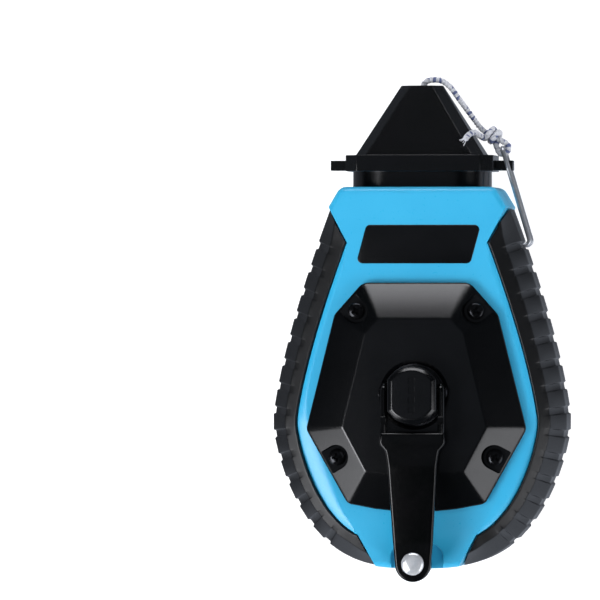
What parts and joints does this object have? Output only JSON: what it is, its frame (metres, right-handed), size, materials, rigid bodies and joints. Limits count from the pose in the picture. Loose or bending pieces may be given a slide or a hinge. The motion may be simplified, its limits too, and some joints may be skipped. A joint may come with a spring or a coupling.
{
  "type": "chalk line reel",
  "caption": "Hand-held chalk line reel: drop-shaped case with ribbed rubber grips, geared folding crank with a push button, pull-off nose cap and a line that ends in a wire hook.",
  "frame": {"origin": "on the spool axis, on the flat back face", "axes": "+X across the reel, to the right seen from the front; +Y along the reel towards the nose; +Z out of the front, towards the crank"},
  "size_m": [0.0968, 0.1652, 0.0597],
  "materials": {
    "blue_case_plastic": "satin moulded ABS",
    "black_cover_plastic": "fine-grained moulded ABS",
    "black_hub_plastic": "satin moulded nylon",
    "grip_rubber": "soft-touch moulded rubber",
    "black_painted_steel": "semi-gloss black powder coat on pressed steel",
    "black_screw_steel": "black-oxide steel",
    "zinc_plated_steel": "bright zinc plate",
    "gear_steel": "sintered steel",
    "spool_nylon": "natural nylon",
    "felt": "pressed wool felt",
    "braided_line": "braided polyester line"
  },
  "bodies": {
    "case": {"front_shell": "blue_case_plastic", "rear_shell": "blue_case_plastic", "right_front_grip": "grip_rubber", "right_rear_grip": "grip_rubber", "left_front_grip": "grip_rubber", "left_rear_grip": "grip_rubber", "gear_cover": "black_cover_plastic", "cover_gasket": "grip_rubber", "cover_screw_1": "black_screw_steel", "cover_screw_2": "black_screw_steel", "cover_screw_3": "black_screw_steel", "cover_screw_4": "black_screw_steel", "case_screw_1": "black_screw_steel", "case_screw_2": "black_screw_steel", "case_screw_3": "black_screw_steel", "case_screw_4": "black_screw_steel", "ring_gear": "gear_steel", "spool_axle": "zinc_plated_steel", "axle_washer": "zinc_plated_steel", "chalk_seal": "felt", "line_inner_run": "braided_line"},
    "spool": {"spool": "spool_nylon", "sun_gear": "gear_steel", "line_winding": "braided_line"},
    "crank_hub": {"crank_hub": "black_hub_plastic", "planet_carrier": "gear_steel", "planet_pin_1": "zinc_plated_steel", "planet_pin_2": "zinc_plated_steel", "planet_pin_3": "zinc_plated_steel", "hinge_pin_left": "black_screw_steel", "hinge_pin_right": "black_screw_steel", "clutch_spring": "zinc_plated_steel"},
    "planet_1": {"planet_gear_1": "gear_steel"},
    "planet_2": {"planet_gear_2": "gear_steel"},
    "planet_3": {"planet_gear_3": "gear_steel"},
    "button": {"push_button": "black_hub_plastic"},
    "crank": {"crank_arm": "black_painted_steel", "knob_rivet": "zinc_plated_steel"},
    "knob": {"crank_knob": "black_hub_plastic"},
    "cap": {"nose_cap": "black_cover_plastic", "line_wiper": "felt", "cap_seal": "grip_rubber", "line_end": "braided_line", "line_hook": "zinc_plated_steel"}
  },
  "joints": [
    {"name": "crank_spin", "type": "hinge", "parent": "case", "child": "crank_hub", "pos_m": [0, 0, 0.0468], "axis": [0, 0, 1], "continuous": true},
    {"name": "spool_spin", "type": "hinge", "parent": "case", "child": "spool", "pos_m": [0, 0, 0.0065], "axis": [0, 0, 1], "continuous": true},
    {"name": "planet_1_spin", "type": "hinge", "parent": "crank_hub", "child": "planet_1", "pos_m": [0, 0.0126, 0.0409], "axis": [0, 0, 1], "continuous": true},
    {"name": "planet_2_spin", "type": "hinge", "parent": "crank_hub", "child": "planet_2", "pos_m": [-0.01091, -0.0063, 0.0409], "axis": [0, 0, 1], "continuous": true},
    {"name": "planet_3_spin", "type": "hinge", "parent": "crank_hub", "child": "planet_3", "pos_m": [0.01091, -0.0063, 0.0409], "axis": [0, 0, 1], "continuous": true},
    {"name": "button_press", "type": "slide", "parent": "crank_hub", "child": "button", "axis": [0, 0, -1], "range_m": [0, 0.0018], "stiffness_N_per_m": 600, "deforming": ["clutch_spring"]},
    {"name": "crank_fold", "type": "hinge", "parent": "crank_hub", "child": "crank", "pos_m": [0, 0.001, 0.0542], "axis": [-1, 0, 0], "range_deg": [0, 180]},
    {"name": "knob_spin", "type": "hinge", "parent": "crank", "child": "knob", "pos_m": [0, -0.055, 0.0409], "axis": [0, 0, 1], "continuous": true},
    {"name": "cap_lift", "type": "slide", "parent": "case", "child": "cap", "axis": [0, 1, 0], "range_m": [0, 0.03]}
  ],
  "couplings": [
    {"joint": "spool_spin", "follows": "crank_spin", "ratio": 4},
    {"joint": "planet_1_spin", "follows": "crank_spin", "ratio": -3},
    {"joint": "planet_2_spin", "follows": "crank_spin", "ratio": -3},
    {"joint": "planet_3_spin", "follows": "crank_spin", "ratio": -3}
  ]
}
